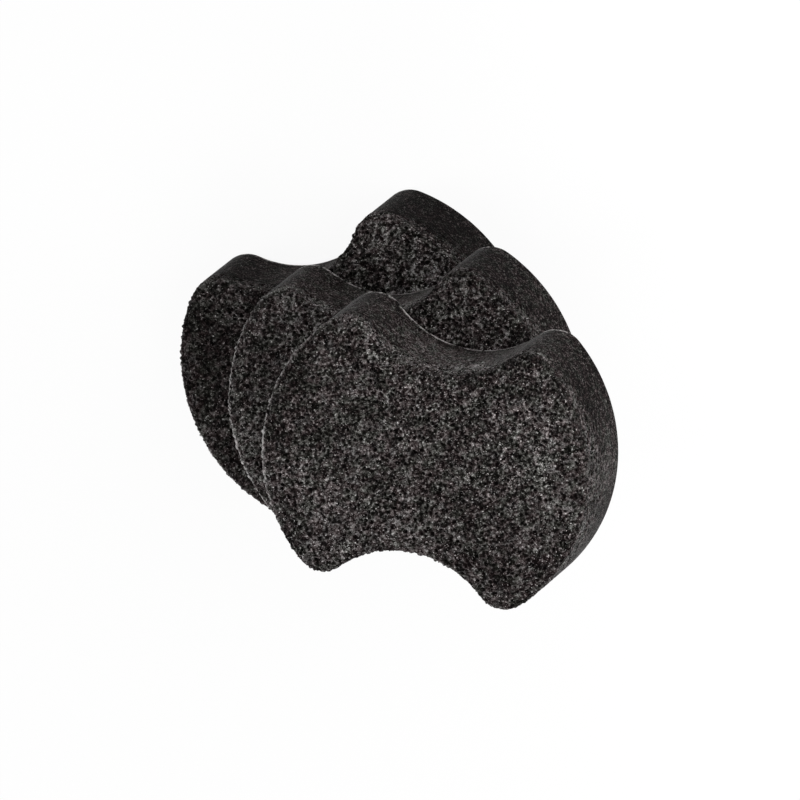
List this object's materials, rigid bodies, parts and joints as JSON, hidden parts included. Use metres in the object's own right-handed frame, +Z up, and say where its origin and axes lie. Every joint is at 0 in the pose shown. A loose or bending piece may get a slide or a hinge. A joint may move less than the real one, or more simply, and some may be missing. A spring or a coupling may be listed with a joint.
{
  "type": "foot buffer",
  "caption": "Foam foot buffers with a hollow on each long side and a coarse crowned scrubbing face, fanned in a loose stack.",
  "frame": {"origin": "centre of the lowest buffer's flat underside, on the surface that the stack lies on", "axes": "+Z up through the stack, +X along the lowest buffer's length, +Y across its waist"},
  "size_m": [0.147, 0.1208, 0.1062],
  "materials": {
    "dense_foam": "fine-celled matt foam",
    "melted_film": "thin melted sheet",
    "coarse_foam": "coarse open-celled foam with glossy cell ribs"
  },
  "bodies": {
    "lower_buffer": {"lower_foam_body": "dense_foam", "lower_bond_film": "melted_film", "lower_scrub_layer": "coarse_foam"},
    "middle_buffer": {"middle_foam_body": "dense_foam", "middle_bond_film": "melted_film", "middle_scrub_layer": "coarse_foam"},
    "upper_buffer": {"upper_foam_body": "dense_foam", "upper_bond_film": "melted_film", "upper_scrub_layer": "coarse_foam"}
  },
  "joints": [
    {"name": "middle_lift", "type": "slide", "parent": "lower_buffer", "child": "middle_buffer", "axis": [0, 0, 1], "range_m": [0, 0.1]},
    {"name": "upper_lift", "type": "slide", "parent": "middle_buffer", "child": "upper_buffer", "axis": [0, 0, 1], "range_m": [0, 0.1]}
  ]
}
